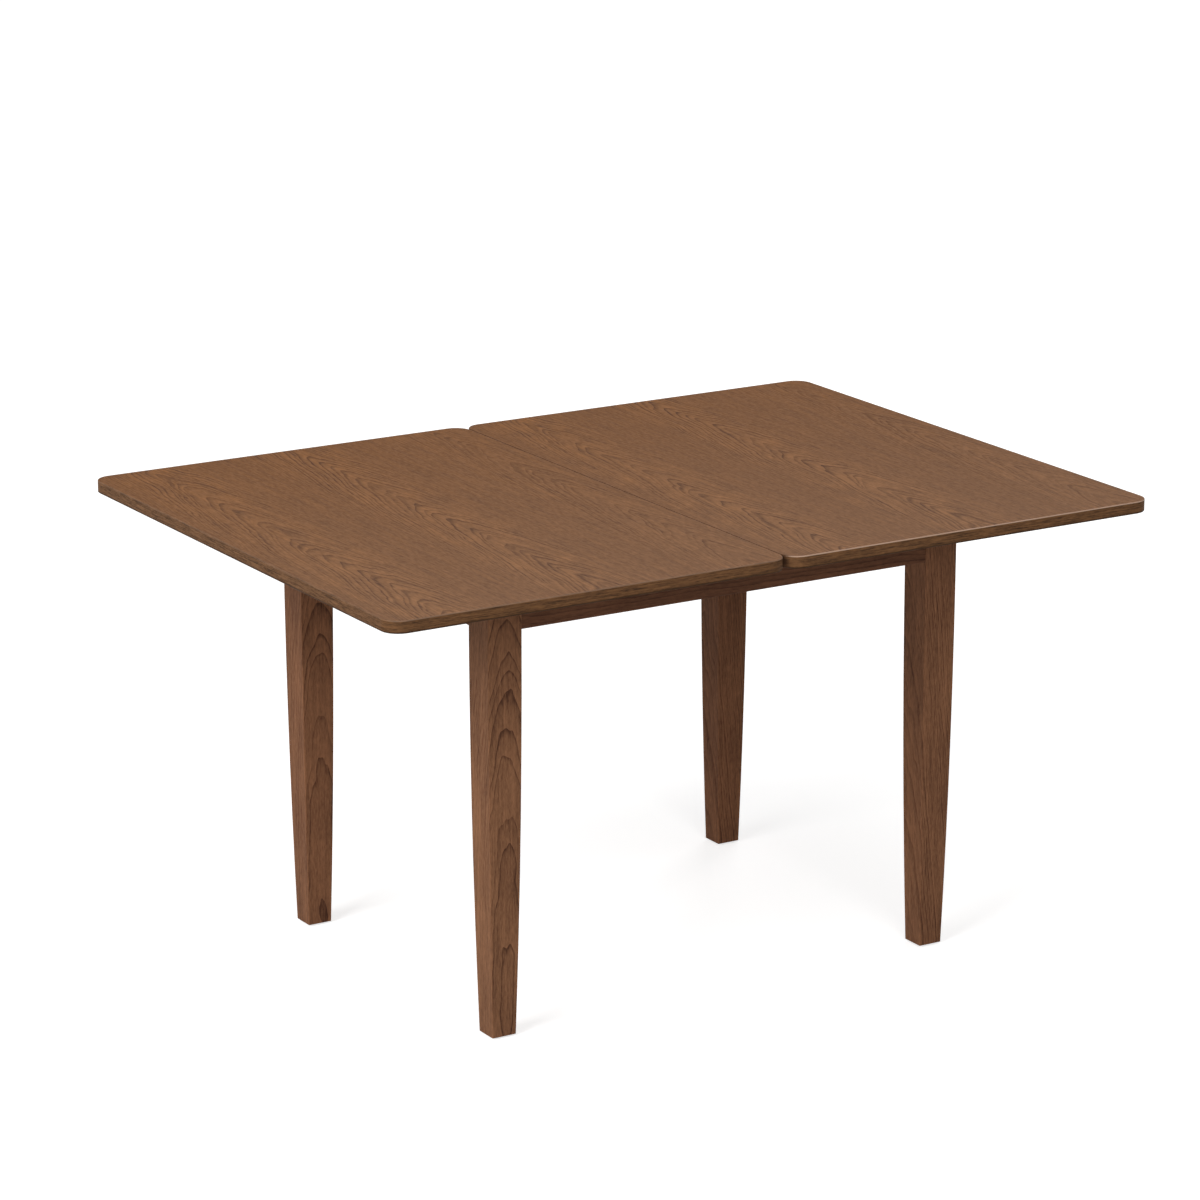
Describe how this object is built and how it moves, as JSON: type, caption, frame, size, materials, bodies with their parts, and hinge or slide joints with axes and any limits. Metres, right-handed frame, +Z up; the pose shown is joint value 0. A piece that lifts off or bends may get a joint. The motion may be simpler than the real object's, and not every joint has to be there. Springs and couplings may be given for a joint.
{
  "type": "fold-over dining table",
  "caption": "Rectangular wooden dining table on tapered legs, its top split in two leaves that turn on a pivot and fold over on each other to halve the length.",
  "frame": {"origin": "on the floor, at the middle of the open table", "axes": "+X along the open top, from the swivelling leaf towards the folding leaf; +Y across it; +Z up"},
  "size_m": [1.397, 1.016, 0.762],
  "materials": {
    "top_veneer": "satin lacquer",
    "edge_band_wood": "satin lacquer",
    "frame_wood": "satin lacquer",
    "rail_wood": "sanded",
    "hinge_brass": "satin",
    "bush_bronze": "satin",
    "pivot_steel": "satin",
    "zinc_steel": "zinc plated",
    "nylon": "matt",
    "felt": "felt",
    "glide_plastic": "matt"
  },
  "bodies": {
    "base": {"leg_front_left": "frame_wood", "leg_front_right": "frame_wood", "leg_back_left": "frame_wood", "leg_back_right": "frame_wood", "apron_front": "frame_wood", "apron_back": "frame_wood", "apron_left": "frame_wood", "apron_right": "frame_wood", "corner_bracket_front_left": "zinc_steel", "corner_bracket_front_right": "zinc_steel", "corner_bracket_back_left": "zinc_steel", "corner_bracket_back_right": "zinc_steel", "hanger_bolts": "zinc_steel", "flange_nuts": "zinc_steel", "pivot_rail": "rail_wood", "rail_cleat_front": "rail_wood", "rail_cleat_back": "rail_wood", "pivot_bush": "bush_bronze", "glide_washer": "nylon", "slide_pads": "felt", "foot_glides": "glide_plastic"},
    "leaf_a": {"leaf_a_panel": "top_veneer", "leaf_a_edge_band": "edge_band_wood", "hinge_barrels_a": "hinge_brass", "swivel_plate": "pivot_steel", "pivot_stud": "pivot_steel", "stop_pin": "pivot_steel", "pivot_washer": "pivot_steel", "disc_spring": "pivot_steel", "lock_nut": "pivot_steel"},
    "leaf_b": {"leaf_b_panel": "top_veneer", "leaf_b_edge_band": "edge_band_wood", "hinge_barrels_b": "hinge_brass"},
    "links_a": {"hinge_links_a": "hinge_brass"},
    "links_b": {"hinge_links_b": "hinge_brass"}
  },
  "joints": [
    {"name": "top_swivel", "type": "hinge", "parent": "base", "child": "leaf_a", "pos_m": [-0.17463, 0.17463, 0.737], "axis": [0, 0, 1], "range_deg": [0, 90]},
    {"name": "leaf_fold", "type": "hinge", "parent": "leaf_a", "child": "leaf_b", "pos_m": [0, 0, 0.76225], "axis": [0, -1, 0], "range_deg": [0, 180]},
    {"name": "link_a_swing", "type": "hinge", "parent": "leaf_a", "child": "links_a", "pos_m": [-0.002, 0, 0.7575], "axis": [0, -1, 0], "range_deg": [0, 110]},
    {"name": "link_b_swing", "type": "hinge", "parent": "leaf_b", "child": "links_b", "pos_m": [0.002, 0, 0.7575], "axis": [0, -1, 0], "range_deg": [-110, 0]}
  ],
  "couplings": [
    {"joint": "link_a_swing", "follows": "leaf_fold", "ratio": 0.61},
    {"joint": "link_b_swing", "follows": "leaf_fold", "ratio": -0.61}
  ]
}
